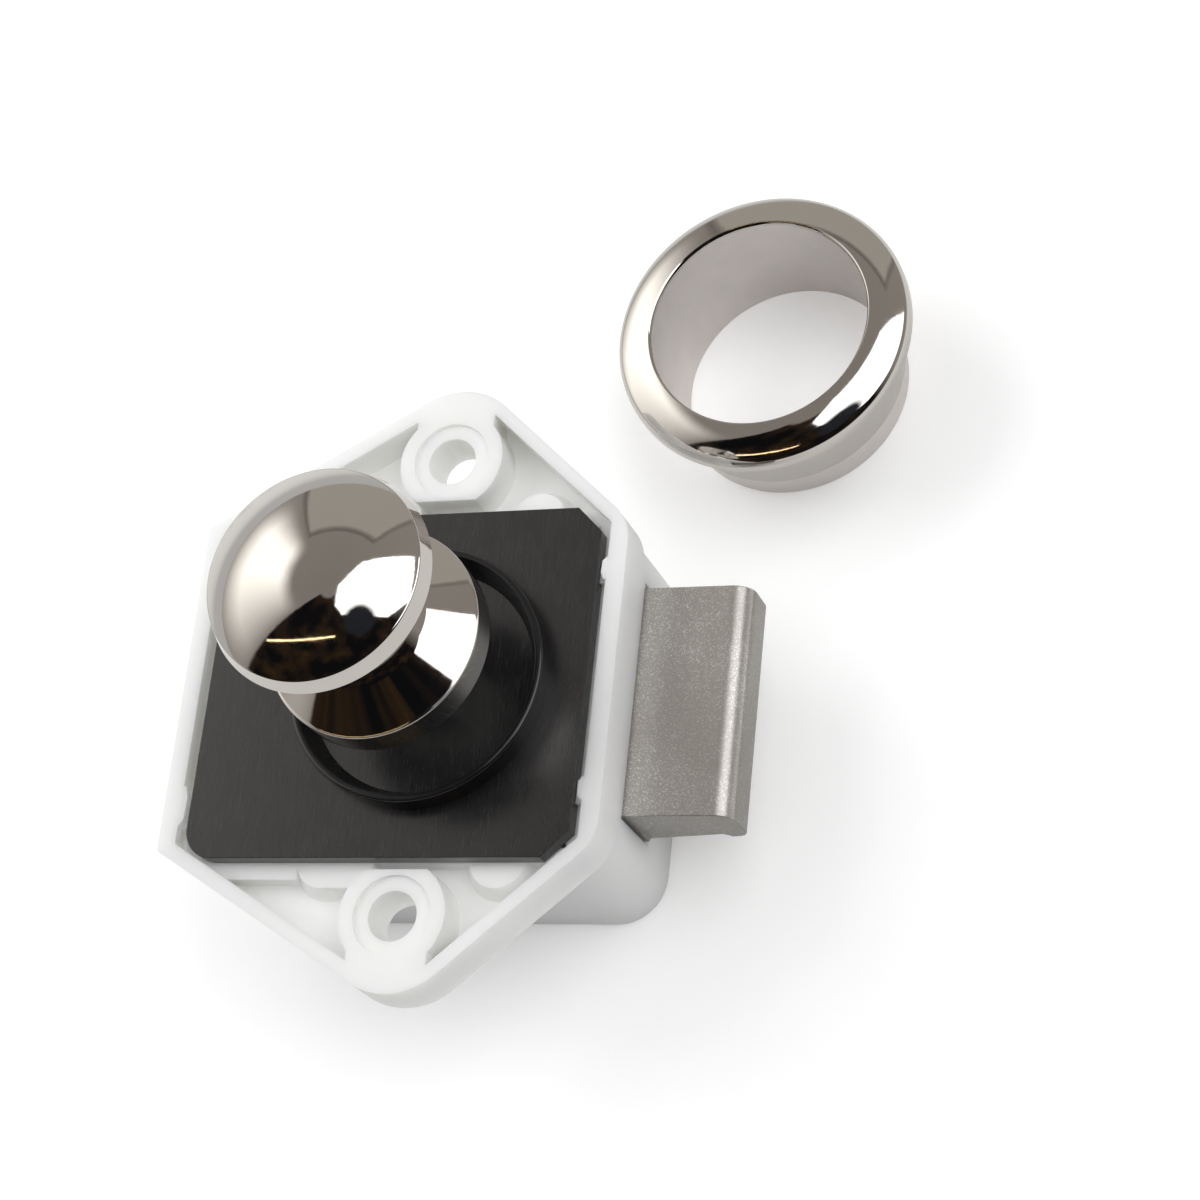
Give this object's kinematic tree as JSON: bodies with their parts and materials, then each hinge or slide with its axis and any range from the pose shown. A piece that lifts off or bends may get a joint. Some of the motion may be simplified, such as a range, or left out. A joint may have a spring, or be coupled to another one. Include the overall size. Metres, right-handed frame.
{
  "type": "push button cabinet lock",
  "caption": "Push button lock for a cabinet door: knob on a recessed plate, lozenge case, side latch bolt and loose round rosette.",
  "frame": {"origin": "Spindle axis in the plane of the case rim", "axes": "+X the way the bolt comes out, +Y along the line of the two screw holes, +Z the way the knob comes out"},
  "size_m": [0.0674, 0.085, 0.0499],
  "materials": {
    "white_nylon": "moulded, slightly translucent white nylon",
    "black_plate": "satin charcoal plate with fine brushed grain",
    "black_gloss": "glossy black plated ring",
    "natural_acetal": "natural acetal",
    "zinc_steel": "zinc plated steel",
    "spring_steel": "bright spring wire",
    "bright_nickel": "bright warm nickel plate",
    "silver_grey_plastic": "silver-grey moulded plastic with metallic flake"
  },
  "bodies": {
    "housing": {"case": "white_nylon", "cover_plate": "black_plate", "collar": "black_gloss", "guide_plate": "natural_acetal", "guide_screws": "zinc_steel", "spring_pins": "zinc_steel", "pin_spring": "spring_steel", "knob_spring": "spring_steel", "bolt_spring_a": "spring_steel", "bolt_spring_b": "spring_steel"},
    "knob_unit": {"knob": "bright_nickel", "plunger": "natural_acetal", "knob_screw": "zinc_steel", "knob_washer": "zinc_steel"},
    "bolt_unit": {"latch_bolt": "silver_grey_plastic"},
    "cam_pin_unit": {"cam_pin": "spring_steel"},
    "rosette_unit": {"rosette": "bright_nickel"}
  },
  "joints": [
    {"name": "knob_slide", "type": "slide", "parent": "housing", "child": "knob_unit", "axis": [0, 0, 1], "range_m": [0, 0.008], "deforming": ["knob_spring"]},
    {"name": "bolt_slide", "type": "slide", "parent": "housing", "child": "bolt_unit", "axis": [1, 0, 0], "range_m": [-0.01, 0], "deforming": ["bolt_spring_a", "bolt_spring_b"]},
    {"name": "cam_pin_swing", "type": "hinge", "parent": "housing", "child": "cam_pin_unit", "pos_m": [-0.01387, 0, -0.0034], "axis": [0, 0, 1], "range_deg": [-9.21, 0]},
    {"name": "rosette_lift", "type": "slide", "parent": "housing", "child": "rosette_unit", "axis": [0, 0, 1], "range_m": [0, 0.03]}
  ],
  "couplings": [
    {"joint": "bolt_slide", "follows": "knob_slide", "ratio": -1.25},
    {"joint": "cam_pin_swing", "follows": "knob_slide", "rad_per_m": -20.086}
  ]
}
